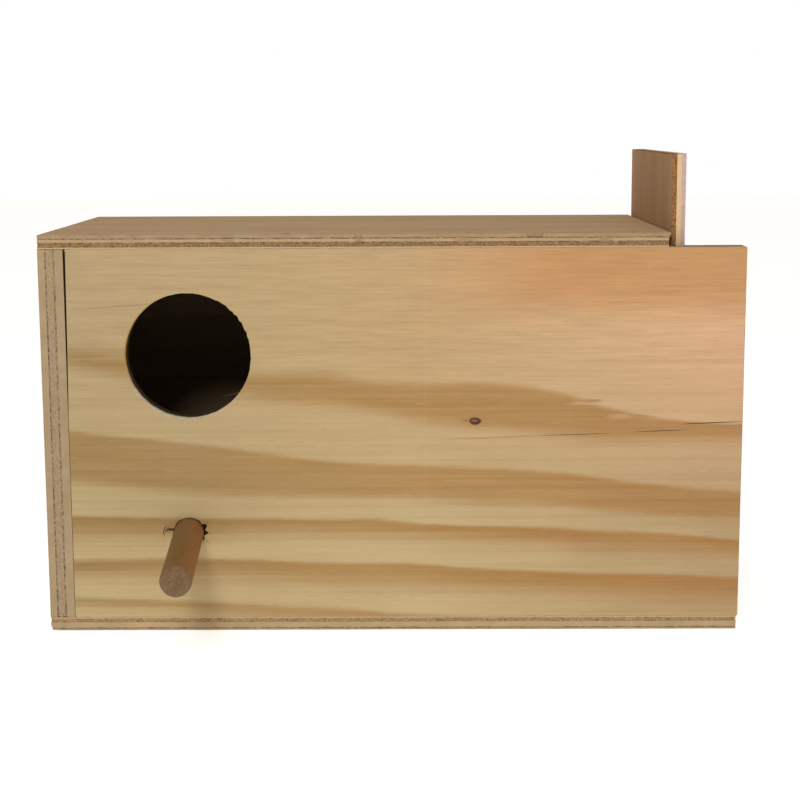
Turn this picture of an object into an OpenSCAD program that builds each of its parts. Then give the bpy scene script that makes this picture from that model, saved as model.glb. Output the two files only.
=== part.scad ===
// Plywood nest box for small parrots, with an entrance hole, a dowel perch and a lift-out end door.
// Millimetres. X runs along the box, the entrance faces -Y and Z is up.
// The origin is the centre of the floor panel's underside.

/* [Box] */
// Length, from the left board to the free end of the front board
body_length = 278; // [250:1:340]
// Depth, from the outside of the front board to the outside of the back board
body_depth = 136; // [124:1:180]
// Height, from the underside of the floor to the top of the roof
body_height = 160; // [150:1:210]

/* [Boards] */
// Thickness of the front, back and left boards
board_t = 10; // [9:0.5:12]
// Thickness of the thin plywood of the roof, floor and door
ply_t = 5.5; // [4:0.5:7]
// Open gap at the top of the joint between the left and front boards, which closes towards the floor
joint_gap = 1; // [0:0.1:2]
// Distance that the floor stops short of the free end of the front board
floor_setback = 0.5; // [0:0.1:2]
// Distance that the back board stops short of the free end of the front board
back_setback = 5; // [0:0.5:8]

/* [Entrance] */
// Diameter of the entrance hole
entrance_d = 50; // [32:1:60]
// Distance of the entrance's centre from the left end of the box
entrance_from_left = 58; // [50:1:80]
// Height of the entrance's centre above the underside of the floor
entrance_height = 112; // [100:1:115]

/* [Perch] */
// Diameter of the dowel
perch_d = 12; // [8:1:15]
// Length of the dowel in front of the front board
perch_reach = 75; // [40:1:90]
// Distance of the perch from the left end of the box, at the front face
perch_from_left = 57; // [50:1:80]
// Height of the perch's axis above the underside of the floor
perch_height = 40.5; // [38:0.5:60]
// Lean of the perch towards the free end, from square to the board, in degrees
perch_lean = 3.5; // [0:0.5:5]

/* [Door] */
// Distance from the door's outer face to the free end of the front board
door_inset = 23.5; // [15:0.5:30]
// Height that the closed door stands above the roof, as a grip
door_rise = 30.5; // [15:0.5:50]
// Depth of the door's grooves in the front and back boards
groove_depth = 4; // [2:0.5:5]
// Play between the door's faces and its grooves, both sides together
groove_play = 0.8; // [0.4:0.1:1.5]
// Play between the door's edges and the bottoms of its grooves, both sides together
door_width_play = 1; // [0.5:0.1:2]
// Gap between the roof's end and the door
roof_gap = 0.6; // [0.3:0.1:1]

/* [Nest block] */
// Length of the block along the box
nest_length = 112; // [90:1:120]
// Thickness of the block
nest_t = 20; // [18:1:30]
// Diameter of the dished hollow
dish_d = 100; // [60:1:104]
// Depth of the dished hollow
dish_depth = 12; // [6:1:14]
// Play around the block, on each side
nest_play = 0.5; // [0.3:0.1:2]

/* [Panel pins] */
// Diameter of a pin's shank
pin_d = 1.4; // [1.2:0.1:2]
// Length of a pin, head included
pin_length = 25; // [20:1:25]
// Diameter of a pin's head
pin_head_d = 2.4; // [2:0.1:4]
// Thickness of a pin's head
pin_head_t = 0.6; // [0.4:0.1:1]

/* [Hidden] */
$fn = 96;

left = -body_length / 2;
right = body_length / 2;
front = -body_depth / 2;
back = body_depth / 2;
floor_top = ply_t;
roof_underside = body_height - ply_t;
board_h = roof_underside - floor_top;
inner_depth = body_depth - 2 * board_t;
board_left = left + board_t;

entrance_x = left + entrance_from_left;
perch_x = left + perch_from_left;
perch_recess = 1;

door_x = right - door_inset - ply_t;
door_w = inner_depth + 2 * groove_depth - door_width_play;
door_h = body_height - floor_top + door_rise;

nest_x = door_x - nest_play - nest_length / 2;
nest_depth = inner_depth - 2 * nest_play;
dish_r = (pow(dish_d / 2, 2) + pow(dish_depth, 2)) / (2 * dish_depth);

// How far past a face a cutting shape runs, so that it cuts clean through.
overcut = 1;
pin_point = 2.5;

// Pins stand on the middle line of each board's edge, clear of the entrance, perch and grooves.
pin_line = body_depth / 2 - board_t / 2;
corner_x = board_left + 11;
roof_pin_x = [corner_x, entrance_x + 40, 30, door_x - 15];
floor_pin_x = [corner_x, -55, 5, 65, right - 14];
end_pin_y = body_depth / 4;
left_pin_z = [32, body_height / 2, body_height - 32];
nest_pin_inset = 9;

roof_pin_places = concat(
    [for (x = roof_pin_x, side = [-1, 1]) [x, side * pin_line]],
    [for (side = [-1, 1]) [left + board_t / 2, side * end_pin_y]]
);
floor_pin_places = concat(
    [for (x = floor_pin_x, side = [-1, 1]) [x, side * pin_line]],
    [for (side = [-1, 1]) [left + board_t / 2, side * end_pin_y]]
);
left_pin_places = [for (z = left_pin_z, side = [-1, 1]) [side * pin_line, z]];
nest_pin_places = [
    for (end = [-1, 1], side = [-1, 1])
        [nest_x + end * (nest_length / 2 - nest_pin_inset), side * (nest_depth / 2 - nest_pin_inset)]
];

// A panel pin pointing down, with the top of its flat head at the origin.
module pin() {
    translate([0, 0, -pin_head_t])
        cylinder(h = pin_head_t, d = pin_head_d, $fn = 32);
    translate([0, 0, -pin_length + pin_point])
        cylinder(h = pin_length - pin_point - pin_head_t, d = pin_d, $fn = 32);
    translate([0, 0, -pin_length])
        cylinder(h = pin_point, d1 = 0, d2 = pin_d, $fn = 32);
}

// Pins driven down through the roof into the front, back and left boards.
module roof_pin_set() {
    for (p = roof_pin_places) translate([p[0], p[1], body_height]) pin();
}

// Pins driven up through the floor into the front, back and left boards.
module floor_pin_set() {
    for (p = floor_pin_places) translate([p[0], p[1], 0]) rotate([180, 0, 0]) pin();
}

// Pins driven through the left board into the ends of the front and back boards.
module left_pin_set() {
    for (p = left_pin_places) translate([left, p[0], p[1]]) rotate([0, -90, 0]) pin();
}

// Pins driven up through the floor into the corners of the nest block.
module nest_pin_set() {
    for (p = nest_pin_places) translate([p[0], p[1], 0]) rotate([180, 0, 0]) pin();
}

// The dowel's shape, from reach in front of the front face to inside behind it.
module dowel(reach, inside) {
    translate([perch_x, front, perch_height])
        rotate([90, 0, perch_lean])
            translate([0, 0, -inside])
                cylinder(h = reach + inside, d = perch_d);
}

// A long board that stands between floor and roof, with its left end out of square by gap and its
// free end cut short by setback. Its outer face lies on y = 0, its body runs towards +Y, and its
// inner face has the door's groove.
module grooved_board(gap, setback) {
    difference() {
        translate([0, board_t, 0])
            rotate([90, 0, 0])
                linear_extrude(height = board_t)
                    polygon([
                        [board_left, floor_top],
                        [right - setback, floor_top],
                        [right - setback, roof_underside],
                        [board_left + gap, roof_underside]
                    ]);
        translate([door_x - groove_play / 2, board_t - groove_depth, floor_top - overcut])
            cube([ply_t + groove_play, groove_depth + overcut, board_h + 2 * overcut]);
    }
}

module front_board() {
    color("BurlyWood")
        difference() {
            translate([0, front, 0]) grooved_board(joint_gap, 0);
            translate([entrance_x, front - overcut, entrance_height])
                rotate([-90, 0, 0])
                    cylinder(h = board_t + 2 * overcut, d = entrance_d);
            dowel(overcut + 1, board_t + 2 * overcut);
            roof_pin_set();
            floor_pin_set();
            left_pin_set();
        }
}

module back_board() {
    color("BurlyWood")
        difference() {
            translate([0, back, 0]) mirror([0, 1, 0]) grooved_board(0, back_setback);
            roof_pin_set();
            floor_pin_set();
            left_pin_set();
        }
}

module left_board() {
    color("BurlyWood")
        difference() {
            translate([left, front, floor_top]) cube([board_t, body_depth, board_h]);
            roof_pin_set();
            floor_pin_set();
            left_pin_set();
        }
}

module roof_panel() {
    color("Tan")
        difference() {
            translate([left, front, roof_underside])
                cube([door_x - roof_gap - left, body_depth, ply_t]);
            roof_pin_set();
        }
}

module floor_panel() {
    color("Tan")
        difference() {
            translate([left, front, 0])
                cube([body_length - floor_setback, body_depth, ply_t]);
            floor_pin_set();
            nest_pin_set();
        }
}

// The door stands on the floor in the two grooves, and its top is the grip.
module sliding_door() {
    color("RosyBrown")
        translate([door_x, -door_w / 2, floor_top])
            cube([ply_t, door_w, door_h]);
}

module perch() {
    color("Peru") dowel(perch_reach, board_t - perch_recess);
}

module nest_block() {
    color("Wheat")
        difference() {
            translate([nest_x - nest_length / 2, -nest_depth / 2, floor_top])
                cube([nest_length, nest_depth, nest_t]);
            translate([nest_x, 0, floor_top + nest_t - dish_depth + dish_r])
                sphere(r = dish_r);
            nest_pin_set();
        }
}

module roof_pins() { color("Silver") roof_pin_set(); }
module floor_pins() { color("Silver") floor_pin_set(); }
module left_board_pins() { color("Silver") left_pin_set(); }
module nest_block_pins() { color("Silver") nest_pin_set(); }

front_board();
back_board();
left_board();
roof_panel();
floor_panel();
sliding_door();
perch();
nest_block();
roof_pins();
floor_pins();
left_board_pins();
nest_block_pins();
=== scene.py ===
import itertools
import math

import bmesh
import bpy
import numpy as np
from mathutils import Matrix, Vector


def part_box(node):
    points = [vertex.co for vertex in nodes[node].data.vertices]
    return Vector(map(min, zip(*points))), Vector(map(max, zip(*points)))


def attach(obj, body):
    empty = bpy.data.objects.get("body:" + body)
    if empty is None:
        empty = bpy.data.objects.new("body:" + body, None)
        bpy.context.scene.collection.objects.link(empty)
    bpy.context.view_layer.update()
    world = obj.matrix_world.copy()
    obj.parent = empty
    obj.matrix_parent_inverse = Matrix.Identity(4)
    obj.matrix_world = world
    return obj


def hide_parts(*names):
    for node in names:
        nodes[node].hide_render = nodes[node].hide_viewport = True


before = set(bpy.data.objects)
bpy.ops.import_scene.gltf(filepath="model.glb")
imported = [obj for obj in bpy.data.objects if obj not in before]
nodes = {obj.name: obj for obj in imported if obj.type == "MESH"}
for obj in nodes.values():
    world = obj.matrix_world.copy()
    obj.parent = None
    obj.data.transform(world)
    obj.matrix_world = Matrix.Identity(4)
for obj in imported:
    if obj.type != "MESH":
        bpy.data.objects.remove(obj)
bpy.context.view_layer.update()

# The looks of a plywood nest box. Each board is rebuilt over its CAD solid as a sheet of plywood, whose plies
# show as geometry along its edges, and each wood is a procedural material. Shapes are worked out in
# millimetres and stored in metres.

MM = 0.001


def box_mm(node):
    """A CAD node's lowest and highest corners, in millimetres."""
    low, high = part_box(node)
    return np.array(low) / MM, np.array(high) / MM


# ---- Colours ----


def srgb(red, green, blue):
    """A colour given as it looks on a screen, from 0 to 255, as the linear numbers that shaders use."""
    linear = []
    for value in (red / 255, green / 255, blue / 255):
        linear.append(value / 12.92 if value <= 0.04045 else ((value + 0.055) / 1.055) ** 2.4)
    return (*linear, 1.0)


def shade(colour, level):
    """A screen colour made darker or lighter."""
    return tuple(min(255, c * level) for c in colour)


# ---- Materials ----


class Graph:
    """The node tree of a new material, or of a world, built one node at a time."""

    def __init__(self, name, world=None):
        self.material = world or bpy.data.materials.new(name)
        self.material.use_nodes = True
        self.tree = self.material.node_tree
        self.tree.nodes.clear()

    def node(self, kind, inputs=(), **settings):
        """Adds a node. inputs pairs a socket's name or number with a value or with another node's socket."""
        made = self.tree.nodes.new("ShaderNode" + kind)
        for name, value in settings.items():
            setattr(made, name, value)
        for key, value in dict(inputs).items():
            if isinstance(value, bpy.types.NodeSocket):
                self.tree.links.new(value, made.inputs[key])
            else:
                made.inputs[key].default_value = value
        return made

    def math(self, operation, first, second=0.0, third=0.0):
        return self.node("Math", {0: first, 1: second, 2: third}, operation=operation).outputs[0]

    def plus(self, first, second):
        return self.math("ADD", first, second)

    def times(self, first, second):
        return self.math("MULTIPLY", first, second)

    def rescale(self, value, from_low, from_high, to_low=0.0, to_high=1.0, kind="LINEAR"):
        """Maps a value from one range to another, and holds it inside the second."""
        names = ("Value", "From Min", "From Max", "To Min", "To Max")
        ends = zip(names, (value, from_low, from_high, to_low, to_high))
        return self.node("MapRange", ends, interpolation_type=kind).outputs[0]

    def mix(self, share, first, second, blend="MIX"):
        """Mixes two colours. A share of 0 gives the first."""
        made = self.node("Mix", {0: share, 6: first, 7: second}, data_type="RGBA", blend_type=blend)
        return made.outputs[2]

    def ramp(self, value, *stops):
        """A colour ramp through (position, colour) stops."""
        made = self.node("ValToRGB", {0: value})
        elements = made.color_ramp.elements
        while len(elements) < len(stops):
            elements.new(0.5)
        for element, (position, colour) in zip(elements, stops):
            element.position = position
            element.color = colour
        return made.outputs[0]

    def place(self, *scale):
        """The place on the object in millimetres, with each axis multiplied by its scale."""
        place = self.node("TexCoord").outputs["Object"]
        return self.node("Mapping", {0: place, "Scale": [s / MM for s in scale]}).outputs[0]

    def shifted(self, scales, shift):
        """The scaled place, moved along all three axes."""
        return self.node("VectorMath", {0: self.place(*scales), 1: (shift,) * 3}).outputs[0]

    def axis(self, number):
        """The place's x, y or z in millimetres, for number 0, 1 or 2."""
        return self.node("SeparateXYZ", {0: self.place(1, 1, 1)}).outputs[number]

    def noise(self, vector, detail=3.0, roughness=0.55, distortion=0.0):
        """Noise from 0 to 1, one lump for each unit of the vector."""
        inputs = {"Vector": vector, "Scale": 1.0, "Detail": detail}
        inputs |= {"Roughness": roughness, "Distortion": distortion}
        return self.node("TexNoise", inputs).outputs[0]

    def curve(self, value, points):
        """A smooth curve through (value, result) points that run from 0 to 1."""
        made = self.node("FloatCurve", {1: value})
        line = made.mapping.curves[0]
        while len(line.points) < len(points):
            line.points.new(0.5, 0.5)
        for point, place in zip(line.points, points):
            point.location = place
        made.mapping.use_clip = False
        made.mapping.update()
        return made.outputs[0]

    def finish(self, colour, roughness, height, depth_mm, specular=0.3):
        """Joins colour, roughness and relief to the shader. The relief is depth_mm deep where height is 1."""
        relief = {"Strength": 1.0, "Distance": depth_mm * MM, "Height": height}
        normal = self.node("Bump", relief).outputs[0]
        inputs = {"Base Color": colour, "Roughness": roughness, "Normal": normal}
        self.shader = self.node("BsdfPrincipled", inputs)
        self.shader.inputs["Specular IOR Level"].default_value = specular
        self.node("OutputMaterial", {"Surface": self.shader.outputs[0]})
        return self.material


def along(axis, length, width):
    """Scales for a place vector, so that noise is length long along an axis and width wide across it."""
    return [1 / length if i == axis else 1 / width for i in range(3)]


def fibres(graph, axis):
    """A wood's fine fibres, along an axis: their brightness and their relief, both from 0 to 1."""
    fine = graph.noise(graph.place(*along(axis, 40, 0.45)), detail=4)
    broad = graph.noise(graph.place(*along(axis, 60, 3.0)), detail=2)
    both = graph.math("MULTIPLY_ADD", broad, 0.45, graph.times(fine, 0.55))
    return graph.rescale(both, 0.3, 0.7), graph.rescale(fine, 0.3, 0.7)


def streaked(graph, colour, brightness, strength):
    """The colour, darker and lighter with brightness by up to strength."""
    level = graph.rescale(brightness, 0, 1, 1 - strength, 1 + strength)
    grey = graph.node("CombineColor", {0: level, 1: level, 2: level}).outputs[0]
    return graph.mix(1.0, colour, grey, "MULTIPLY")


def pores(graph, axis, length, width, cover, shift=0.0):
    """1 in short pores or resin canals along an axis, and 0 elsewhere. cover is about their share."""
    spots = graph.noise(graph.shifted(along(axis, length, width), shift), detail=1)
    edge = 0.72 - 0.5 * cover
    return graph.rescale(spots, edge, edge + 0.05)


# Grain lines of the front board's face, from the top down. Each has the (x, z) places that it passes through,
# how dark the wood is just above it and just below it, and how many millimetres the change takes at the
# board's left and right ends.
GRAIN_LINES = (
    (
        ((-129, 120.8), (-81, 114), (-52, 108.9), (-40, 108.6), (-22, 107.4), (-5, 104.6), (14, 103.3),
         (38, 102.8), (61, 99.9), (85, 92.7), (108, 87.6), (128, 85.4), (139, 85)),
        0.00, 0.84, (11, 1.2),
    ),
    (
        ((-129, 113.3), (-100, 107.8), (-52, 99.3), (-40, 97.8), (-25, 96.6), (-5, 93.6), (14, 89.5),
         (38, 86.8), (61, 84.6), (85, 82.2), (108, 81.7), (139, 82)),
        0.84, 0.06, (8.5, 8),
    ),
    (
        ((-129, 83.5), (-71, 77), (-17, 70.1), (39, 68), (67, 65.9), (95, 62), (139, 58.3)),
        0.04, 0.80, (2.6, 2.6),
    ),
    (
        ((-129, 65.4), (-71, 59.6), (-17, 58), (14, 56.6), (39, 55.2), (61, 54.7), (95, 51), (139, 48.2)),
        0.80, 0.05, (6.5, 5),
    ),
    (
        ((-129, 48.9), (-71, 47.2), (-52, 47.5), (-25, 46.9), (-5, 46.5), (14, 45.5), (39, 43.9), (61, 43),
         (85, 41.5), (108, 40.7), (139, 38)),
        0.04, 0.97, (2.2, 2.2),
    ),
    (
        ((-129, 32), (-80, 33.2), (-43, 35.2), (-17, 34.5), (39, 32.3), (61, 30.6), (85, 27.8), (108, 27.2),
         (139, 25.8)),
        0.06, 0.00, (2, 2),
    ),
    (
        ((-129, 30.4), (-60, 30.3), (-40, 29.2), (-5, 28.8), (14, 28), (39, 26.4), (61, 25.2), (85, 23.9),
         (108, 23.6), (139, 22)),
        0.04, 0.93, (2.2, 2.2),
    ),
    (
        ((-129, 19.5), (-62, 16.4), (-40, 15.2), (-17, 13.2), (14, 10.9), (39, 9.8), (61, 9), (85, 5.8),
         (108, 5), (139, 5)),
        0.06, 0.00, (2, 2),
    ),
    (((-129, 15.2), (-72, 12.4), (-18, 9.4), (39, 6), (139, 0.5)), 0.04, 0.72, (2.4, 2.4)),
    (((-129, 8.5), (-72, 6), (-18, 1), (139, -10)), 0.1, 0.0, (2, 2)),
)
# Where the redder wood at the board's upper right fades in, along x and along the waved height, in mm.
CROWN_EDGE, CROWN_FADE = (6, 62), (123, 137)
# The heights between which the pale wood's colours change from LOWER_WOOD to UPPER_WOOD, and those between
# which the short comb-like fibres of its upper part fade in.
UPPER_FADE, COMBED_FADE = (45, 120), (85, 112)
# How far the grain lines wander, in mm: slowly and quickly.
SLOW_WAVE, QUICK_WAVE = 3.4, 0.9
# The height that a grain line's curve gives as 1.
CURVE_SPAN = 200.0


def spot(graph, x, z, centre, radii, power=2.0):
    """How far a point is from an oval's centre, where 1 is on its edge. A power below 2 points its ends."""
    sides = []
    for value, middle, radius in zip((x, z), centre, radii):
        away = graph.math("ABSOLUTE", graph.math("SUBTRACT", value, middle))
        sides.append(graph.math("POWER", graph.math("DIVIDE", away, radius), power))
    return graph.math("POWER", graph.plus(*sides), 1 / power)


def stroke(graph, x, z, start, end, width):
    """1 on a thin straight line between two places on the front board, fading to 0 at its sides and ends."""
    run, rise = end[0] - start[0], end[1] - start[1]
    length = math.hypot(run, rise)
    right, up = graph.math("SUBTRACT", x, start[0]), graph.math("SUBTRACT", z, start[1])
    forward = graph.math("MULTIPLY_ADD", right, run / length, graph.times(up, rise / length))
    aside = graph.math("MULTIPLY_ADD", right, -rise / length, graph.times(up, run / length))
    near = graph.rescale(graph.math("ABSOLUTE", aside), 0, width, 1, 0)
    middle = graph.math("ABSOLUTE", graph.math("SUBTRACT", forward, length / 2))
    return graph.times(near, graph.rescale(middle, length / 4, length / 2, 1, 0))


def wood_colours(graph, share, stops):
    """The colour at a share of the board's length, from (share, screen colour) stops."""
    return graph.ramp(share, *[(place, srgb(*colour)) for place, colour in stops])


def pine_front(name, low, high):
    """The front board's face: broad bands of summer wood, a small knot, and fine resin streaks."""
    graph = Graph(name)
    x, z = graph.axis(0), graph.axis(2)
    share = graph.rescale(x, low[0], high[0])
    slow = graph.noise(graph.place(1 / 70, 1 / 70, 1 / 9), detail=3)
    quick = graph.noise(graph.place(1 / 9, 1 / 9, 1 / 2.2), detail=3)
    wave = graph.math("MULTIPLY_ADD", slow, SLOW_WAVE, graph.times(quick, QUICK_WAVE))
    height = graph.math("SUBTRACT", graph.plus(z, wave), (SLOW_WAVE + QUICK_WAVE) / 2)

    darkness, before = 0.0, None
    for places, above, below, change in GRAIN_LINES:
        points = [((px - low[0]) / (high[0] - low[0]), pz / CURVE_SPAN) for px, pz in places]
        line = graph.times(graph.curve(share, points), CURVE_SPAN)
        if before:
            fade = graph.rescale(height, before[0], line, 0, above - before[1], "SMOOTHSTEP")
            darkness = graph.plus(fade, darkness)
        foot = graph.math("SUBTRACT", line, graph.rescale(share, 0, 1, *change))
        change_below = graph.rescale(height, line, foot, 0, below - above, "SMOOTHSTEP")
        darkness = graph.plus(change_below, darkness)
        before = (foot, below)

    woods = (UPPER_WOOD, LOWER_WOOD, SUMMER_WOOD)
    upper, lower, dark = (wood_colours(graph, share, stops) for stops in woods)
    light = graph.mix(graph.rescale(z, *UPPER_FADE), lower, upper)
    crown = graph.times(graph.rescale(x, *CROWN_EDGE), graph.rescale(height, *CROWN_FADE))
    light = graph.mix(crown, light, srgb(*CROWN_WOOD))
    growth = graph.noise(graph.place(1 / 120, 1 / 120, 1 / 1.3), detail=2)
    darkness = graph.plus(darkness, graph.rescale(growth, 0.3, 0.7, -0.14, 0.14))
    colour = graph.mix(darkness, light, dark)
    brightness, relief = fibres(graph, 0)
    colour = streaked(graph, colour, brightness, 0.05)
    patches = graph.noise(graph.place(1 / 28, 1 / 28, 1 / 7), detail=2)
    colour = streaked(graph, colour, graph.rescale(patches, 0.3, 0.7), 0.03)
    short = graph.noise(graph.place(1 / 16, 1 / 16, 1 / 1.1), detail=3)
    combed = streaked(graph, colour, graph.rescale(short, 0.3, 0.7), 0.07)
    colour = graph.mix(graph.rescale(z, *COMBED_FADE), colour, combed)
    canals = graph.times(pores(graph, 0, 5, 0.45, 0.05), 0.30)
    colour = graph.mix(canals, colour, srgb(*RESIN))
    rays = graph.times(pores(graph, 0, 7, 0.6, 0.05, shift=31), 0.12)
    colour = graph.mix(rays, colour, srgb(*RAY))

    for start, end, width, strength in STREAKS:
        line = graph.times(stroke(graph, x, z, start, end, width), strength)
        colour = graph.mix(line, colour, srgb(*STREAK))
    splice = graph.times(stroke(graph, x, z, *SPLICE), 0.05)
    colour = graph.mix(splice, colour, srgb(*SPLICE_WOOD))

    for centre, radii, tint, strength in FLECKS:
        waved = graph.math("MULTIPLY_ADD", quick, 1.6, graph.math("SUBTRACT", z, 0.8))
        fleck = spot(graph, x, waved, centre, radii)
        colour = graph.mix(graph.rescale(fleck, 0.4, 1.0, strength, 0), colour, srgb(*tint))
    halo = spot(graph, x, z, KNOT, (6.5, 3.4))
    colour = graph.mix(graph.rescale(halo, 0.3, 1.0, 0.4, 0), colour, srgb(*KNOT_HALO))
    bent = graph.math("MULTIPLY_ADD", quick, 1.2, graph.math("SUBTRACT", z, 0.6))
    knot = spot(graph, x, bent, KNOT, (2.6, 1.65), power=1.85)
    heart = spot(graph, x, bent, (KNOT[0] - 0.3, KNOT[1] + 0.15), (1.55, 0.8))
    colour = graph.mix(graph.rescale(knot, 0.8, 1.05, 1, 0), colour, srgb(*KNOT_RING))
    colour = graph.mix(graph.rescale(heart, 0.7, 1.05, 1, 0), colour, srgb(*KNOT_HEART))
    roughness = graph.rescale(brightness, 0, 1, 0.62, 0.74)
    return graph.finish(colour, roughness, relief, 0.05)


# How dark a growth ring is, from 0 to 1, at shares of its width.
RING_PROFILE = ((0.0, 0.02), (0.4, 0.05), (0.82, 0.8), (0.92, 1.0), (1.0, 0.04))


def pine(name, axis, across, light, dark, spacing, offset, shade_factor=1.0):
    """Bare pine veneer, with its grain along one axis and its bands following each other along another.

    Places are in mm. A darkening factor below 1 paints shade into it, for wood that only the inside of the
    box sees.
    """
    graph = Graph(name)
    bend = graph.noise(graph.shifted(along(axis, 420, 60), offset), detail=2)
    rings = graph.math("MULTIPLY_ADD", bend, 2.2, graph.math("DIVIDE", graph.axis(across), spacing))
    ring = graph.math("FRACT", graph.plus(rings, offset))
    darkness = graph.ramp(ring, *[(place, (level, level, level, 1)) for place, level in RING_PROFILE])
    uneven = graph.noise(graph.place(*along(axis, 320, 1.6 * spacing)), detail=1)
    darkness = graph.times(darkness, graph.rescale(uneven, 0.3, 0.65, 0.2, 0.85))
    growth = graph.noise(graph.place(*along(axis, 150, 1.3)), detail=2)
    darkness = graph.plus(darkness, graph.rescale(growth, 0.3, 0.7, -0.1, 0.16))
    colour = graph.mix(darkness, srgb(*light), srgb(*dark))
    brightness, relief = fibres(graph, axis)
    colour = streaked(graph, colour, brightness, 0.05)
    canals = graph.times(pores(graph, axis, 5, 0.5, 0.03), 0.25)
    colour = graph.mix(canals, colour, srgb(120, 88, 56))
    colour = graph.mix(1.0, colour, (shade_factor, shade_factor, shade_factor, 1), "MULTIPLY")
    roughness = graph.rescale(brightness, 0, 1, 0.6, 0.75)
    return graph.finish(colour, roughness, relief, 0.06)


def veneer(name, axis, light, dark, strength=0.06):
    """The dull hardwood face of the thin plywood, with open pores along its grain."""
    graph = Graph(name)
    brightness, relief = fibres(graph, axis)
    figure = graph.noise(graph.place(*along(axis, 90, 11)), detail=3, distortion=0.6)
    colour = graph.mix(graph.rescale(figure, 0.3, 0.7), srgb(*light), srgb(*dark))
    colour = streaked(graph, colour, brightness, strength)
    open_pores = pores(graph, axis, 3.5, 0.22, 0.12)
    colour = graph.mix(graph.times(open_pores, 0.4), colour, srgb(86, 60, 40))
    relief = graph.math("SUBTRACT", relief, open_pores)
    roughness = graph.rescale(brightness, 0, 1, 0.66, 0.8)
    return graph.finish(colour, roughness, relief, 0.06)


def ply_edge(name, light, dark, grain, depth_mm, contrast=1.0):
    """A ply's cut edge. grain is the size of its lumps in mm: small where the fibres are cut across."""
    graph = Graph(name)
    lumps = graph.noise(graph.place(*[1 / g for g in grain]), detail=4, roughness=0.65)
    fine = graph.noise(graph.place(3, 3, 3), detail=2)
    level = graph.math("MULTIPLY_ADD", fine, 0.3, graph.times(lumps, 0.7))
    share = graph.rescale(level, 0.5 - 0.16 / contrast, 0.5 + 0.16 / contrast)
    colour = graph.mix(share, srgb(*dark), srgb(*light))
    roughness = graph.rescale(share, 0, 1, 0.9, 0.72)
    return graph.finish(colour, roughness, share, depth_mm, specular=0.2)


# The heights between which the entrance's wall changes from its upper colour to the near-white painted
# highlight of its foot.
HOLE_HIGHLIGHT_FADE = (94, 108)


def hole_wall(name, above, below):
    """The wall of the entrance: one screen colour over the hole's upper part, and another over its foot,
    whose near-white is a painted highlight.
    """
    graph = Graph(name)
    colour = graph.mix(graph.rescale(graph.axis(2), *HOLE_HIGHLIGHT_FADE), srgb(*below), srgb(*above))
    lumps = graph.noise(graph.place(1.2, 1.2, 1.2), detail=4, roughness=0.65)
    share = graph.rescale(lumps, 0.3, 0.7)
    colour = streaked(graph, colour, share, 0.08)
    return graph.finish(colour, graph.rescale(share, 0, 1, 0.9, 0.75), share, 0.08, specular=0.2)


def dowel_side(name, lean, axis_x):
    """The perch's side: brown hardwood with its grain along the dowel, with a painted highlight along one
    side.

    lean is the dowel's turn from square to the board, in radians, and axis_x is where its axis then lies.
    """
    graph = Graph(name)
    turned = graph.node("Mapping", {0: graph.place(1, 1, 1), "Rotation": (0, 0, -lean)}).outputs[0]

    def stretched(across, length, detail):
        scale = (across, 1 / length, across)
        return graph.noise(graph.node("Mapping", {0: turned, "Scale": scale}).outputs[0], detail=detail)

    fine, broad = stretched(2.6, 45, 4), stretched(0.4, 60, 3)
    aside = graph.math("SUBTRACT", graph.node("SeparateXYZ", {0: turned}).outputs[0], axis_x)
    # Painted light: the band along the right side is made redder and brighter as a highlight, and its far
    # right edge darker as shade; the broad noise is the wood's own uneven colour.
    side_highlight_and_grain = graph.plus(graph.rescale(aside, -4.5, 6), graph.rescale(broad, 0.3, 0.7, -0.2, 0.2))
    colour = graph.ramp(
        side_highlight_and_grain,
        (0.0, srgb(124, 97, 52)),
        (0.4, srgb(133, 101, 54)),
        (0.75, srgb(150, 103, 55)),
        (1.0, srgb(137, 92, 50)),
    )
    brightness = graph.rescale(fine, 0.3, 0.7)
    colour = streaked(graph, colour, brightness, 0.14)
    marks = graph.rescale(stretched(4, 4, 1), 0.6, 0.68, 0, 0.45)
    colour = graph.mix(marks, colour, srgb(84, 58, 36))
    return graph.finish(colour, graph.rescale(brightness, 0, 1, 0.5, 0.64), brightness, 0.06)


def dowel_end(name):
    """The perch's sawn end: rough, greyish, and finely speckled with cut pores."""
    graph = Graph(name)
    specks = graph.noise(graph.place(3.2, 3.2, 3.2), detail=4, roughness=0.65)
    broad = graph.noise(graph.place(0.35, 0.35, 0.35), detail=2)
    both = graph.math("MULTIPLY_ADD", broad, 0.15, graph.times(specks, 0.85))
    share = graph.rescale(both, 0.36, 0.64)
    colour = graph.ramp(share, (0.0, srgb(90, 68, 45)), (0.5, srgb(121, 96, 68)), (1.0, srgb(146, 122, 91)))
    return graph.finish(colour, graph.rescale(share, 0, 1, 0.95, 0.8), share, 0.10, specular=0.15)


def steel(name):
    """Dulled steel wire: drawn, a little scratched, and with spots of grey."""
    graph = Graph(name)
    scratches = graph.noise(graph.place(0.9, 6, 0.9), detail=4)
    share = graph.rescale(scratches, 0.35, 0.65)
    colour = graph.mix(share, srgb(104, 100, 95), srgb(146, 142, 135))
    material = graph.finish(colour, graph.rescale(share, 0, 1, 0.75, 0.6), share, 0.02)
    graph.shader.inputs["Metallic"].default_value = 1.0
    return material


# Colours of the front board's wood from its left end to its right: the pale spring wood in its upper and
# lower parts, and the darker summer wood in its bands.
UPPER_WOOD = (
    (0.0, (177, 155, 115)), (0.3, (182, 158, 115)), (0.5, (187, 158, 114)), (0.75, (199, 166, 124)),
    (1.0, (211, 169, 131)),
)
LOWER_WOOD = (
    (0.0, (184, 165, 119)), (0.3, (187, 165, 121)), (0.5, (190, 170, 126)), (0.75, (183, 160, 117)),
    (1.0, (176, 151, 111)),
)
SUMMER_WOOD = (
    (0.0, (150, 119, 69)), (0.2, (155, 123, 73)), (0.45, (164, 127, 71)), (0.8, (162, 120, 66)),
    (1.0, (162, 119, 64)),
)

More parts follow.
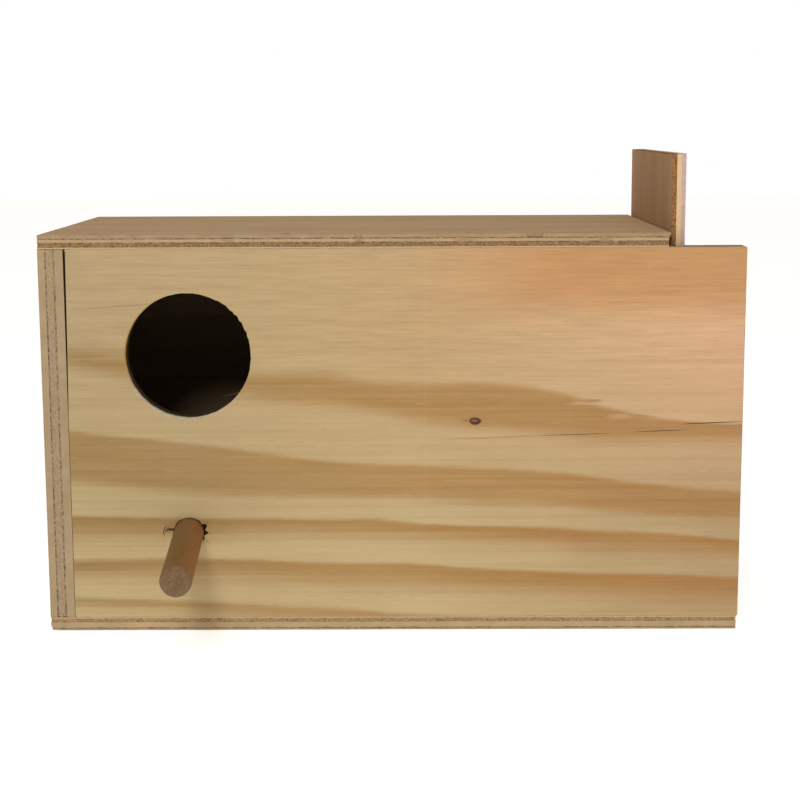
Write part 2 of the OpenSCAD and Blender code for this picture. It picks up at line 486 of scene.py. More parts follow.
# The front board's knot, flecks and dark streaks, as (x, z) places in millimetres on its face. Each fleck has
# its centre, radii, colour and strength. Each streak has its two ends, its width and its strength.
KNOT = (32.8, 85.6)
KNOT_HALO, KNOT_RING, KNOT_HEART = (160, 118, 72), (72, 44, 24), (122, 84, 50)
FLECKS = (
    ((76, 92.7), (8, 1.0), (206, 172, 128), 0.45),
    ((79, 93.7), (5.2, 1.0), (164, 128, 86), 0.9),
    ((90.5, 87.3), (7, 1.4), (204, 166, 122), 0.4),
    ((29, 85.8), (1.6, 0.5), (120, 84, 50), 0.7),
)
STREAKS = (
    ((20, 78.3), (62, 79.8), 0.4, 0.5),
    ((-127, 130.6), (-92, 133), 0.4, 0.45),
    ((-60, 113), (-20, 114), 0.5, 0.14),
    ((85.5, 89.3), (106, 86.9), 0.55, 0.5),
)
# The faint upright line where two lengths of the face's veneer meet: its two ends and its width.
SPLICE = ((13, 20), (13, 190), 0.5)
CROWN_WOOD, SPLICE_WOOD, STREAK = (191, 145, 96), (226, 204, 170), (136, 96, 58)
RESIN, RAY = (140, 104, 66), (222, 196, 156)

# ---- Sheets of plywood ----

# Plies from one face of a sheet to the other, as (kind, share of the thickness).
PINE_PLIES = (("pine", 0.29), ("glue", 0.05), ("core", 0.27), ("glue", 0.06), ("pine", 0.33))
ROOF_PLIES = (("tan", 0.26), ("glue", 0.08), ("cream", 0.21), ("glue", 0.08), ("brown", 0.27), ("pine", 0.10))
FLOOR_PLIES = (("tan", 0.15), ("glue", 0.07), ("cream", 0.41), ("brown", 0.28), ("pine", 0.09))
DOOR_PLIES = (("tan", 0.33), ("cream", 0.33), ("brown", 0.34))

# How ragged each kind of ply is along a cut edge, in mm: the least and the greatest depth of its surface
# behind the sheet's outline, the usual length of one hollow, and the spacing of points across the ply.
RAGGED = {
    "pine": (0.00, 0.07, 2.5, 1.1),
    "core": (0.06, 0.55, 0.9, 0.45),
    "tan": (0.00, 0.12, 1.5, 0.7),
    "cream": (0.02, 0.10, 3.0, 0.8),
    "brown": (0.08, 0.60, 0.9, 0.4),
    "glue": (0.05, 0.65, 1.4, 0.3),
}
# A sheet's materials: its two faces, and then one for each of these kinds of edge. The last is the dark brown
# painted shade inside drilled holes.
OUTER_FACE, INNER_FACE = 0, 1
EDGE_KINDS = ("pine", "core", "tan", "cream", "brown", "glue", "hole_pine", "hole_core", "painted_shade_brown")
# How far a sheet's sharp edges are worn back, the radius of its corners, and the depth of a ply's first and
# last rings inside it, in mm.
ARRIS, CORNER, PLY_MARGIN = 0.22, 0.5, 0.06
# The pins' heads, the depth of the dents they sit in, and the play around them and around the perch, in mm.
PIN_HEAD_RADIUS, PIN_DENT, PLAY = 1.2, 0.9, 0.12


def edge_slot(kind):
    """Which of a sheet's materials a kind of edge has."""
    return 2 + EDGE_KINDS.index(kind)


def wavy(distance, total, wavelength, rng):
    """Smooth random numbers from 0 to 1 at places along a closed outline."""
    count = max(8, int(total / wavelength))
    knots = rng.random(count)
    return np.interp(distance, np.arange(count + 1) * total / count, np.append(knots, knots[0]))


def outline(corners, steps):
    """A polygon's outline, anticlockwise, as closely spaced points with rounded corners.

    Returns the points, their inward directions, their distances along the outline, and the outline's length.
    """
    corners = np.array(corners, float)
    points, inward = [], []
    for side, start in enumerate(corners):
        end = corners[(side + 1) % len(corners)]
        run = (end - start) / np.linalg.norm(end - start)
        normal = np.array((-run[1], run[0]))
        length = np.linalg.norm(end - start)
        count = int((length - 2 * CORNER) / steps[side])
        for t in np.linspace(CORNER, length - CORNER, count):
            points.append(start + run * t)
            inward.append(normal)
        centre = end - run * CORNER + normal * CORNER
        for turn in (math.pi / 6, math.pi / 3):
            outward = run * math.sin(turn) - normal * math.cos(turn)
            points.append(centre + outward * CORNER)
            inward.append(-outward)
    points, inward = np.array(points), np.array(inward)
    gaps = np.linalg.norm(np.roll(points, -1, 0) - points, axis=1)
    return points, inward, np.concatenate(([0], np.cumsum(gaps)[:-1])), gaps.sum()


def ply_rings(plies, thickness):
    """Where a sheet's rings of points lie through its thickness, and which kind of ply each is on."""
    rings, start = [], 0.0
    for kind, share in plies:
        depth = share * thickness
        count = max(2, round(depth / RAGGED[kind][3]))
        margin = min(PLY_MARGIN, depth / 4)
        rings += [(w, kind) for w in np.linspace(start + margin, start + depth - margin, count)]
        start += depth
    return rings


def ragged_depths(rings, distance, total, rng):
    """How far each ring's points lie behind the outline, for each ring."""
    depths = []
    for _, kind in rings:
        least, most, wavelength, _ = RAGGED[kind]
        lumps = wavy(distance, total, wavelength, rng)
        slow = wavy(distance, total, wavelength * 7, rng)
        depths.append(least + (most - least) * lumps**2 * (0.4 + 0.6 * slow))
    return depths


def loop(angles, reach, w, centre=(0.0, 0.0), lean=0.0):
    """A ring of points at a depth w, reach away from a centre in (u, v). lean moves it with its depth."""
    u = centre[0] + reach * np.cos(angles) - math.tan(lean) * w
    return np.column_stack((u, centre[1] + reach * np.sin(angles), w + np.zeros(len(angles))))


def ring_mesh(rings, kinds, faces):
    """Vertices and faces of a closed shape lofted through rings of points, with each face's material."""
    count = len(rings[0])
    vertices = np.concatenate(rings)
    quads, materials = [], []
    for k in range(len(rings) - 1):
        for i in range(count):
            j = (i + 1) % count
            quads.append((k * count + i, k * count + j, (k + 1) * count + j, (k + 1) * count + i))
        materials += [edge_slot(kinds[k + 1 if k + 2 < len(rings) else k])] * count
    last = (len(rings) - 1) * count
    quads.append(tuple(range(count))[::-1])
    quads.append(tuple(last + i for i in range(count)))
    return vertices, quads, materials + list(faces)


def sheet_mesh(corners, thickness, plies, steps, rng, bites=()):
    """A sheet of plywood as vertices, faces and materials, in (u, v, w), where w is 0 on its outer face.

    Each bite is a function of points and w that gives the least depth of each point behind the outline.
    """
    points, inward, distance, total = outline(corners, steps)
    rings = ply_rings(plies, thickness)
    depths = ragged_depths(rings, distance, total, rng)
    chips = [ARRIS * (0.5 + 1.3 * wavy(distance, total, 2.2, rng) ** 3) for _ in range(2)]
    levels = [0.0, *[w for w, _ in rings], thickness]
    kinds = [rings[0][1], *[kind for _, kind in rings], rings[-1][1]]
    depths = [depths[0] + chips[0], *depths, depths[-1] + chips[1]]
    loops = []
    for w, depth in zip(levels, depths):
        for bite in bites:
            depth = np.maximum(depth, bite(points, w))
        flat = points + inward * depth[:, None]
        loops.append(np.column_stack((flat, np.full(len(flat), w))))
    return ring_mesh(loops, kinds, (OUTER_FACE, INNER_FACE))


# A drilled hole's wall: how much less ragged it is than a sawn edge, how deep the drill's teeth mark its rim
# and how quickly that fades, in mm. Cutters run past a sheet's faces by OVERCUT.
HOLE_RAGGED, SERRATION, SERRATION_DEPTH, OVERCUT = 0.45, 0.32, 0.8, 1.0


def hole_kind(kind, depth, clean):
    """The kind of a ply's surface in a drilled hole, at a share of its depth. From the given share on, its
    wall takes a dark brown painted shade.
    """
    if depth >= clean:
        return "painted_shade_brown"
    return {"pine": "hole_pine", "core": "hole_core"}.get(kind, kind)


def hole_mesh(centre, radius, thickness, plies, rng, lean=0.0, chips=(), count=360, clean=0.45):
    """A cutter for a drilled hole, ragged where it passes each ply. lean tilts it towards +u, in radians.

    Each chip is (angle, half width, extra radius) in degrees and mm, torn out of the outermost ply. The last
    argument is the share of the depth up to which its wall has its own wood colour; deeper, it has a dark
    brown painted shade.
    """
    angles = np.arange(count) * 2 * math.pi / count
    distance, total = angles * radius, 2 * math.pi * radius
    rings = ply_rings(plies, thickness)
    depths = [HOLE_RAGGED * d for d in ragged_depths(rings, distance, total, rng)]
    torn = np.zeros(count)
    for angle, half, extra in chips:
        apart = np.degrees(np.abs((angles - math.radians(angle) + math.pi) % (2 * math.pi) - math.pi))
        torn = np.maximum(torn, extra * np.clip(1.3 * (1 - apart / half), 0, 1))
    torn *= 0.45 + 0.55 * wavy(distance, total, 0.8, rng)
    first_ply = plies[0][1] * thickness
    serration = SERRATION * wavy(distance, total, 1.1, rng) ** 2
    levels = [-OVERCUT, 0.0, *[w for w, _ in rings], thickness, thickness + OVERCUT]
    kinds = [plies[0][0]] * 2 + [kind for _, kind in rings] + [plies[-1][0]] * 2
    depths = [depths[0], depths[0], *depths, depths[-1], depths[-1]]
    loops = []
    for w, depth in zip(levels, depths):
        torn_here = torn * min(max(1 - w / first_ply, 0), 1) ** 0.6
        open_by = depth + serration * math.exp(-max(w, 0) / SERRATION_DEPTH) + torn_here
        loops.append(loop(angles, radius + open_by, w, centre, lean))
    walls = [hole_kind(kind, max(w, 0) / thickness, clean) for kind, w in zip(kinds, levels)]
    return ring_mesh(loops, walls, (OUTER_FACE, INNER_FACE))


def three_sided(vertices, material):
    """A closed bar with three sides, from a triangle of vertices at each place along it."""
    faces = []
    for first in range(0, len(vertices) - 3, 3):
        for a, b in ((0, 1), (1, 2), (2, 0)):
            faces.append((first + a, first + b, first + 3 + b, first + 3 + a))
    faces += [(2, 1, 0), tuple(len(vertices) - 3 + i for i in range(3))]
    return vertices, faces, [material] * len(faces)


def crack_mesh(points, width, depth):
    """A cutter for a crack: a V-groove that follows points on the outer face and narrows to its ends."""
    points, vertices = np.array(points, float), []
    share = np.linspace(0, 1, len(points))
    half = width / 2 * np.clip(np.sin(np.pi * share) ** 0.5, 0.12, 1)
    runs = np.gradient(points, axis=0)
    aside = np.column_stack((-runs[:, 1], runs[:, 0])) / np.linalg.norm(runs, axis=1)[:, None]
    for (u, v), (du, dv), side in zip(points, aside, half):
        left, right = (u - du * side, v - dv * side, -0.2), (u + du * side, v + dv * side, -0.2)
        vertices += [left, right, (u, v, depth * side / half.max())]
    return three_sided(vertices, edge_slot("glue"))


def block_mesh(low, high, material):
    """A plain block as a cutter, between two (u, v, w) corners."""
    corners = list(itertools.product(*zip(low, high)))
    faces = [(0, 1, 3, 2), (4, 6, 7, 5), (0, 4, 5, 1), (2, 3, 7, 6), (0, 2, 6, 4), (1, 5, 7, 3)]
    return corners, faces, [material] * 6


def dimple_mesh(centre, count=20):
    """A cutter for the round dent that a pin's head sits in."""
    angles = np.arange(count) * 2 * math.pi / count
    radius = PIN_HEAD_RADIUS + PLAY
    profile = ((-0.5, 1.0), (0.0, 1.0), (0.25 * PIN_DENT, 0.97), (PIN_DENT, 0.95))
    loops = [loop(angles, radius * share, w, centre) for w, share in profile]
    vertices, faces, _ = ring_mesh(loops, ["pine"] * len(loops), (0, 0))
    return vertices, faces, [edge_slot("core")] * len(faces)


def fibre_mesh(points, width, material):
    """A torn fibre: a thin tapering sliver with three sides, along points in (u, v, w)."""
    points, vertices = np.array(points, float), []
    for k, point in enumerate(points):
        size = width / 2 * (1 - 0.85 * k / (len(points) - 1))
        vertices += [point + (0, size, 0), point + (0, -size, 0), point + (0, 0, size)]
    return three_sided(vertices, material)


def new_object(name, data):
    """An object in the scene, for a mesh, a lamp or a camera."""
    made = bpy.data.objects.new(name, data)
    bpy.context.scene.collection.objects.link(made)
    return made


def make_object(name, parts, axes, materials):
    """An object from one or more (vertices, faces, materials) parts. axes carries (u, v, w) to the frame."""
    vertices, faces, indices = [], [], []
    for part_vertices, part_faces, part_materials in parts:
        first = len(vertices)
        vertices += [tuple(axes @ Vector(v)) for v in part_vertices]
        faces += [tuple(first + i for i in f) for f in part_faces]
        indices += part_materials
    mesh = bpy.data.meshes.new(name)
    mesh.from_pydata([tuple(c * MM for c in v) for v in vertices], [], faces)
    for material in materials:
        mesh.materials.append(material)
    mesh.polygons.foreach_set("material_index", indices)
    work = bmesh.new()
    work.from_mesh(mesh)
    bmesh.ops.recalc_face_normals(work, faces=work.faces)
    work.to_mesh(mesh)
    work.free()
    return new_object(name, mesh)


def carve(solid, cutter):
    """Takes the cutter away from the solid for good."""
    cut = solid.modifiers.new("cut", "BOOLEAN")
    cut.operation = "DIFFERENCE"
    cut.solver = "EXACT"
    cut.object = cutter
    depsgraph = bpy.context.evaluated_depsgraph_get()
    carved = bpy.data.meshes.new_from_object(solid.evaluated_get(depsgraph))
    solid.modifiers.clear()
    plain, solid.data = solid.data, carved
    carved.name = solid.name
    bpy.data.meshes.remove(plain)
    bpy.data.objects.remove(cutter)


X, Y, Z = Vector((1, 0, 0)), Vector((0, 1, 0)), Vector((0, 0, 1))


def axes_for(origin, u, v, w):
    """A matrix that carries (u, v, w) in millimetres to the frame."""
    columns = Matrix((u, v, w)).transposed().to_4x4()
    return Matrix.Translation(origin) @ columns


def pin_places(node, axes):
    """Where a CAD node's pins stand, in a sheet's (u, v), for the pins whose head is on its outer face."""
    work = bmesh.new()
    work.from_mesh(nodes[node].data)
    bmesh.ops.remove_doubles(work, verts=work.verts, dist=0.01 * MM)
    left, places = set(work.verts), []
    while left:
        group, edge = set(), [left.pop()]
        while edge:
            vertex = edge.pop()
            group.add(vertex)
            for other in (e.other_vert(vertex) for e in vertex.link_edges):
                if other in left:
                    left.remove(other)
                    edge.append(other)
        points = [axes.inverted() @ (v.co / MM) for v in group]
        head = [p for p in points if abs(p.z) < 0.05]
        if head:
            places.append(tuple(sum(p[i] for p in head) / len(head) for i in range(2)))
    work.free()
    return sorted(places)


def sheet(
    node, body, across, outward, plies, steps, faces, edges, pins=(), cutters=(), bites=(), extra=()
):
    """A plywood board that stands for a CAD node. Its random numbers depend on the node's name alone.

    body is what it rides on. across is the axis that its thickness runs along, and outward is 1 or -1 where
    its outer face looks along that axis or against it. Its u and v are the other two axes in order, and steps
    are the spacings of points along its four sides. faces has the materials of the outer and inner face, and
    edges has one for each kind of ply. pins are the CAD nodes whose pin heads dent its outer face, each
    cutter is a function of the random numbers, and extra has small parts that join the board as they are.
    """
    low, high = box_mm(node)
    u, v = (axis for axis in range(3) if axis != across)
    ways = (X, Y, Z)
    outer = high if outward > 0 else low
    axes = axes_for(ways[across] * outer[across], ways[u], ways[v], ways[across] * -outward)
    corners = [(low[u], low[v]), (high[u], low[v]), (high[u], high[v]), (low[u], high[v])]
    rng = np.random.default_rng(sum(map(ord, node)))
    materials = [*faces, *[edges.get(kind, edges["glue"]) for kind in EDGE_KINDS]]
    board = sheet_mesh(corners, high[across] - low[across], plies, steps, rng, bites)
    made = make_object(node + "_wood", [board], axes, materials)
    cuts = [cutter(rng) for cutter in cutters]
    for pin_node in pins:
        cuts += [dimple_mesh(place) for place in pin_places(pin_node, axes)]
    if cuts:
        carve(made, make_object("cutter", cuts, axes, materials))
    if extra:
        slivers = make_object("slivers", extra, axes, materials)
        joined = bmesh.new()
        joined.from_mesh(made.data)
        joined.from_mesh(slivers.data)
        joined.to_mesh(made.data)
        joined.free()
        bpy.data.objects.remove(slivers)
    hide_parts(node)
    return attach(made, body)


# ---- Woods ----

front_low, front_high = box_mm("front_board")
roof_low, roof_high = box_mm("roof_panel")
floor_low, _ = box_mm("floor_panel")
door_low, door_high = box_mm("sliding_door")

PALE, AMBER = (206, 174, 128), (176, 138, 86)
# Painted shade: the boards' inside faces and the nest block are darkened by these factors, so that the box
# looks dark through its entrance.
INSIDE_SHADE, BLOCK_SHADE = 0.34, 0.7
inside = pine("pine_inside", 0, 2, PALE, AMBER, 21, 3.7, shade_factor=INSIDE_SHADE)
front_face = pine_front("pine_front", front_low, front_high)
back_face = pine("pine_back", 0, 2, PALE, AMBER, 19, 8.3)
left_face = pine("pine_left", 2, 1, PALE, AMBER, 17, 5.1)
left_shaded_inside = pine("pine_left_inside", 2, 1, PALE, AMBER, 17, 6.4, shade_factor=INSIDE_SHADE)
shaded_block_wood = pine("pine_block", 0, 1, (214, 184, 138), (186, 146, 92), 9, 1.9, shade_factor=BLOCK_SHADE)
roof_face = veneer("veneer_roof", 0, (214, 186, 140), (194, 167, 125), strength=0.11)
# The roof's and the floor's inner faces are much darker than the roof's outer face: painted shade inside the
# box.
roof_shaded_inside = veneer("veneer_roof_inside", 0, (124, 104, 82), (108, 90, 69))
floor_face = veneer("veneer_floor", 0, (184, 158, 122), (166, 142, 108))
door_outer = veneer("veneer_door_outer", 2, (186, 152, 118), (166, 134, 102))
door_inner = veneer("veneer_door_inner", 2, (184, 146, 100), (166, 130, 87))
LUMPS, DASHES = (0.8, 0.8, 0.6), (1.7, 1.7, 1.7)


def thin_edges(panel, tan, cream, brown, contrast):
    """The cut edges of a thin panel's plies. The brown ply's fibres are cut across, so it is the roughest."""
    return {
        "tan": ply_edge(f"edge_{panel}_tan", tan, shade(tan, 0.88), (6, 6, 2), 0.04),
        "cream": ply_edge(f"edge_{panel}_cream", cream, shade(cream, 0.9), (12, 12, 12), 0.03),
        "brown": ply_edge(
            f"edge_{panel}_brown", shade(brown, 1.18), shade(brown, 0.68), LUMPS, 0.15, contrast
        ),
        "glue": ply_edge(f"edge_{panel}_glue", tan, shade(brown, 0.7), DASHES, 0.1, 1.6),
        "pine": ply_edge(f"edge_{panel}_face", shade(cream, 1.06), cream, (9, 9, 2), 0.03),
    }


board_edges = {
    "pine": ply_edge("edge_pine", (174, 153, 120), (158, 137, 104), (9, 9, 9), 0.03),
    "core": ply_edge("edge_core", (184, 163, 132), (140, 117, 86), LUMPS, 0.12, 0.8),
    "glue": ply_edge("edge_glue", (178, 155, 117), (104, 80, 60), DASHES, 0.1, 1.6),
}
roof_edges = thin_edges("roof", (172, 146, 112), (188, 160, 118), (148, 119, 86), 1.2)
floor_edges = thin_edges("floor", (175, 153, 122), (187, 162, 121), (164, 138, 100), 1.0)
door_edges = thin_edges("door", (206, 178, 168), (230, 198, 152), (156, 114, 70), 1.6)
hole_edges = {
    # The near-white second colours are the painted highlight on the entrance's lit foot.
    "hole_pine": hole_wall("hole_pine", (250, 206, 116), (255, 252, 230)),
    "hole_core": hole_wall("hole_core", (226, 184, 110), (236, 224, 186)),
    # The deeper part of the entrance's wall and all of the perch's hole are dark brown as painted shade.
    "painted_shade_brown": ply_edge("painted_shade_brown", (92, 72, 48), (62, 47, 31), LUMPS, 0.12, 0.8),
}

# ---- Boards and panels ----

# Spacing of points along a sheet's sides: close on the sides that the camera sees, and wider elsewhere.
FINE, COARSE = 0.55, 1.4
GROOVE_DEPTH, GROOVE_PLAY, GROOVE_OVERCUT = 4.0, 0.4, 2
JOINT_GAP = 1.0
PERCH_LEAN = math.radians(3.5)
HOLE_RADIUS = 25.0
HOLE_PLACE = (-81.0, 112.0)

board_thickness = front_high[1] - front_low[1]
perch_low, perch_high = box_mm("perch")
perch_radius = (perch_high[2] - perch_low[2]) / 2
perch_centre = (perch_low + perch_high) / 2
perch_at_face = perch_centre[0] + (perch_centre[1] - front_low[1]) * math.tan(PERCH_LEAN)
perch_place = (perch_at_face, perch_centre[2])


def groove(rng):
    """The cutter for the door's groove in the inner face of the front or back board."""
    low = (door_low[0] - GROOVE_PLAY, front_low[2] - GROOVE_OVERCUT, board_thickness - GROOVE_DEPTH)
    high = (door_high[0] + GROOVE_PLAY, front_high[2] + GROOVE_OVERCUT, board_thickness + GROOVE_OVERCUT)
    return block_mesh(low, high, edge_slot("pine"))


# Chips around the entrance and the perch: each one's angle and half width in degrees, and its depth in mm.
ENTRANCE_CHIPS = (
    (15, 2, 0.35), (22, 2.5, 0.5), (31, 2.5, 0.6), (38, 3, 0.7), (44, 2, 0.5), (52, 3, 0.4), (60, 2, 0.35),
    (140, 3, 0.4), (152, 2, 0.3), (218, 2, 0.35), (236, 2.5, 0.5), (300, 3, 0.4),
)
PERCH_CHIPS = ((22, 13, 2.4), (0, 10, 1.9), (48, 10, 0.6), (-22, 8, 0.6), (190, 14, 0.5))
# Cracks in the front board's face: the (x, z) places along each one, its width and its depth.
CRACKS = (
    (((57, 79.6), (61, 79.8), (67, 80), (73, 80.1), (82, 80.4), (88.6, 80.7)), 0.28, 0.7),
    (((93, 80.9), (101.5, 81.3), (107, 81.5), (113, 81.7), (118, 81.9)), 0.36, 1.0),
    (((114, 84.0), (118, 84.35), (123, 84.5), (128, 84.7), (134, 84.9), (141, 85.2)), 0.42, 1.2),
    # The last is a groove along the outer edge of the torn flap by the perch, whose dark colour is the flap's
    # painted shade.
    (((-90.0, 43.0), (-91.0, 43.0), (-91.8, 42.5), (-92.2, 41.5), (-92.3, 40.2), (-92.0, 38.9)), 0.45, 0.8),
)
# Torn fibres by the entrance and the perch: the (x, z, depth) places along each one, its width and its kind.
# Those of the dark brown kind are painted with the holes' dark shade colour.
TORN_FIBRES = (
    (((-60.1, 97.4, 1.6), (-62.6, 96.9, 1.2), (-65.6, 96.2, 0.9), (-68.4, 95.4, 0.6)), 0.45, "painted_shade_brown"),
    (
        ((-86.4, 41.8, -0.8), (-88.4, 42.1, -1.1), (-90.2, 42.3, -1.2), (-91.3, 41.8, -1.4),
         (-91.8, 40.5, -1.3), (-91.7, 38.7, -0.9)),
        1.25, "painted_shade_brown",
    ),
    (((-75.3, 43.9, 0.2), (-74.4, 44.9, -0.7), (-73.6, 45.5, -0.9)), 0.6, "core"),
    (((-75.4, 37.6, 0.2), (-74.3, 36.6, -0.5), (-73.2, 36.0, -0.6)), 0.6, "core"),
    (((-74.2, 40.6, 0.2), (-73.2, 40.2, -0.6), (-72.6, 39.4, -0.6)), 0.5, "core"),
)


def entrance(rng):
    """The cutter for the entrance."""
    return hole_mesh(HOLE_PLACE, HOLE_RADIUS, board_thickness, PINE_PLIES, rng, chips=ENTRANCE_CHIPS)


def perch_hole(rng):
    """The cutter for the perch's hole, whose wall is a dark brown painted shade all through."""
    size = {"lean": PERCH_LEAN, "chips": PERCH_CHIPS, "count": 90, "clean": 0.0}
    return hole_mesh(perch_place, perch_radius + PLAY, board_thickness, PINE_PLIES, rng, **size)


def joint_bite(points, w):
    """The front board's left end, sawn out of square, so that the joint gapes at its top."""
    share = (points[:, 1] - front_low[2]) / (front_high[2] - front_low[2])
    opened = np.clip((share - 0.55) / 0.45, 0, 1) ** 0.7
    return JOINT_GAP * (0.15 + 0.85 * opened) * (points[:, 0] < front_low[0] + 1)


sheet(
    "front_board", "box", 1, -1, PINE_PLIES, (COARSE, FINE, FINE, FINE), (front_face, inside),
    {**board_edges, **hole_edges},
    cutters=[entrance, perch_hole, groove, *[lambda rng, c=c: crack_mesh(*c) for c in CRACKS]],
    bites=(joint_bite,),
    extra=[fibre_mesh(points, width, edge_slot(kind)) for points, width, kind in TORN_FIBRES],
)

sheet(
    "back_board", "box", 1, 1, PINE_PLIES, (COARSE, FINE, COARSE, COARSE), (back_face, inside),
    board_edges,
    cutters=[groove],
)

sheet(
    "left_board", "box", 0, -1, PINE_PLIES, (COARSE, COARSE, COARSE, FINE), (left_face, left_shaded_inside),
    board_edges,
    pins=["left_board_pins"],
)


def roof_corner_bite(points, w):
    """The roof's end, broken away under its top ply at the corner by the door."""
    near = np.clip(1 - (points[:, 1] - roof_low[1]) / 11, 0, 1) * (points[:, 0] > roof_high[0] - 1)
    return 3.8 * near**0.8 * min(max((w - 1.0) / 1.4, 0), 1)


def chip_bite(centre, half, depth, top, bottom):
    """A bite out of a panel's front edge, between two levels of its thickness."""

    def bite(points, w):
        if not top <= w <= bottom:
            return 0.0
        near = np.clip(1 - ((points[:, 0] - centre) / half) ** 2, 0, 1)
        return depth * near**0.5 * (points[:, 1] < roof_low[1] + 1)

    return bite


sheet(
    "roof_panel", "box", 2, 1, ROOF_PLIES, (FINE, FINE, COARSE, COARSE), (roof_face, roof_shaded_inside),
    roof_edges,
    pins=["roof_pins"],
    bites=(
        roof_corner_bite,
        chip_bite(56, 3.2, 1.5, 0.0, 1.6),
        chip_bite(-13, 1.4, 1.1, 0.0, 2.2),
        chip_bite(-64, 2.4, 0.8, 1.2, 2.1),
        chip_bite(28, 4.5, 0.9, 1.2, 2.1),
        chip_bite(84, 3.0, 0.9, 1.2, 2.1),
    ),
)


def worn_corner(points, w):
    """The floor's front left corner, rounded off along its lower edge."""
    away = np.hypot(points[:, 0] - floor_low[0], points[:, 1] - floor_low[1])
    return 1.3 * np.clip(1 - away / 4, 0, 1) * max(0.0, 1 - w / 1.6)


sheet(
    "floor_panel", "box", 2, -1, FLOOR_PLIES, (FINE, FINE, COARSE, COARSE), (floor_face, roof_shaded_inside),
    floor_edges,
    pins=["floor_pins", "nest_block_pins"],
    bites=(worn_corner,),
)

sheet(
    "sliding_door", "door", 0, 1, DOOR_PLIES, (COARSE, COARSE, FINE, FINE), (door_outer, door_inner),
    door_edges,
)

# ---- Perch, nest block and pins ----


# Where the rings of the dowel's rough end lie, as shares of its radius.
END_RINGS = (0.85, 0.66, 0.45, 0.24, 0.08)


def dowel(name, radius, length, side, end, around=64):
    """A sawn dowel along +w from the origin: slightly out of round, with a worn edge and a rough end."""
    rng = np.random.default_rng(7)
    angles = np.arange(around) * 2 * math.pi / around
    flat = 0.12 * wavy(angles, 2 * math.pi, 0.7, rng)
    loops = []
    for w in (0.0, *np.linspace(1, length - 1.2, 42), length - 0.55, length - 0.2, length - 0.05):
        worn = 0.55 * max(0.0, 1 - (length - w) / 0.6) ** 2
        rough = 0.10 * wavy(angles, 2 * math.pi, 0.25, rng) ** 2
        loops.append(loop(angles, radius - flat - rough - worn, w))
    for share in END_RINGS:
        saw = 0.10 * rng.random(around)
        loops.append(loop(angles, (radius - 0.7) * share, length - saw))
    vertices, faces, _ = ring_mesh(loops, ["pine"] * len(loops), (0, 0))
    strips, end_strips = len(loops) - 1, len(END_RINGS) + 1
    materials = [0] * (around * (strips - end_strips)) + [1] * (around * end_strips) + [1, 1]
    forward = Vector((math.sin(PERCH_LEAN), -math.cos(PERCH_LEAN), 0))
    across = Z.cross(forward)
    start = Vector(perch_centre) - forward * length / 2
    return make_object(name, [(vertices, faces, materials)], axes_for(start, across, Z, forward), [side, end])


run = perch_high[1] - perch_low[1]
perch_length = (run - 2 * perch_radius * math.sin(PERCH_LEAN)) / math.cos(PERCH_LEAN)
axis_x = perch_centre[0] * math.cos(PERCH_LEAN) + perch_centre[1] * math.sin(PERCH_LEAN)
side_wood = dowel_side("dowel_side", PERCH_LEAN, axis_x)
perch = dowel("perch_dowel", perch_radius, perch_length, side_wood, dowel_end("dowel_end"))
for polygon in perch.data.polygons:
    polygon.use_smooth = polygon.material_index == 0
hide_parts("perch")
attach(perch, "box")

pin_steel = steel("pin_steel")
finishes = {"nest_block": shaded_block_wood}
for node in ("roof_pins", "floor_pins", "left_board_pins", "nest_block_pins"):
    finishes[node] = pin_steel
for node, material in finishes.items():
    nodes[node].data.materials.clear()
    nodes[node].data.materials.append(material)

# ---- Studio ----

CAMERA_PLACE = (6.6, -739.4, 202.4)
CAMERA_TURNS = (9.15, -0.31, -0.25)
CAMERA_LENS = 77.16
KEY_DIRECTION = Vector((0.085, 1.0, -0.56))
KEY_AIM = Vector((-0.02, -0.068, 0.08))
KEY_DISTANCE = 1.6
KEY_SIZE = 0.3
KEY_POWER = 7.9
KEY_TINT = (0.975, 1.0, 1.01)
SKY = 0.45
SKY_TINT = (1.0, 0.87, 0.81, 1.0)
PAPER_GLOW = 0.6
PAPER_REACH = 4.0


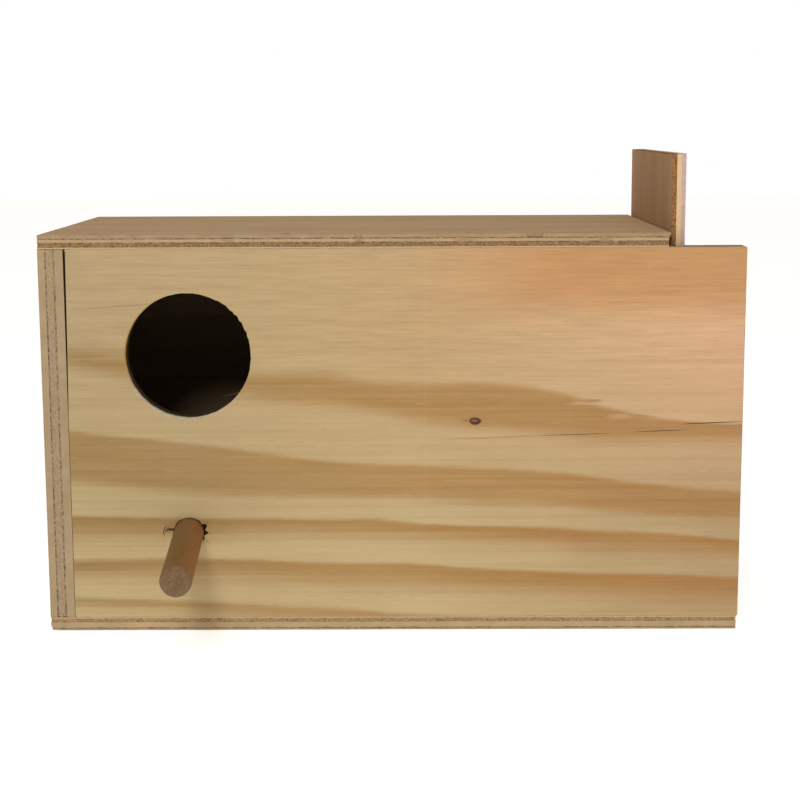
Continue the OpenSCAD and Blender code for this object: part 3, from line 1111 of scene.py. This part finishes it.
def paper(name):
    """The floor's pale paper."""
    graph = Graph(name)
    mottle = graph.noise(graph.place(1 / 40, 1 / 40, 1 / 40), detail=3)
    colour = graph.mix(mottle, srgb(250, 250, 250), srgb(255, 255, 255))
    material = graph.finish(colour, 0.9, mottle, 0.01, specular=0.1)
    graph.shader.inputs["Emission Color"].default_value = (1, 1, 1, 1)
    graph.shader.inputs["Emission Strength"].default_value = PAPER_GLOW
    return material


def studio():
    """A pale floor, a white room, and one soft light in front, above and a little to the left."""
    mesh = bpy.data.meshes.new("floor_paper")
    corners = ((-1, -1), (1, -1), (1, 1), (-1, 1))
    mesh.from_pydata([(x * PAPER_REACH, y * PAPER_REACH, 0) for x, y in corners], [], [(0, 1, 2, 3)])
    mesh.materials.append(paper("studio_paper"))
    ground = new_object("floor_paper", mesh)

    world = bpy.data.worlds.new("room")
    graph = Graph("room", world)
    seen = graph.node("LightPath").outputs["Is Camera Ray"]
    tint = graph.mix(seen, SKY_TINT, (1, 1, 1, 1))
    glow = graph.node("Background", {"Color": tint, "Strength": graph.rescale(seen, 0, 1, SKY, 1)})
    graph.node("OutputWorld", {"Surface": glow.outputs[0]})
    bpy.context.scene.world = world

    lamp = bpy.data.lights.new("key", "AREA")
    lamp.shape = "DISK"
    lamp.size = KEY_SIZE
    lamp.energy = KEY_POWER
    lamp.color = KEY_TINT
    key = new_object("key", lamp)
    way = KEY_DIRECTION.normalized()
    key.location = KEY_AIM - way * KEY_DISTANCE
    key.rotation_mode = "QUATERNION"
    key.rotation_quaternion = way.to_track_quat("-Z", "Y")


def camera():
    """The camera, at the place that the photo's corners were fitted to."""
    pitch, yaw, roll = (math.radians(angle) for angle in CAMERA_TURNS)
    lens = bpy.data.cameras.new("camera")
    lens.lens = CAMERA_LENS
    lens.clip_start, lens.clip_end = 0.02, 50
    made = new_object("camera", lens)
    level = Matrix.Rotation(-yaw, 4, "Z") @ Matrix.Rotation(math.pi / 2 - pitch, 4, "X")
    turn = level @ Matrix.Rotation(roll, 4, "Z")
    made.matrix_world = Matrix.Translation(Vector(CAMERA_PLACE) * MM) @ turn
    bpy.context.scene.camera = made


studio()
camera()
bpy.context.scene.view_settings.view_transform = "Standard"
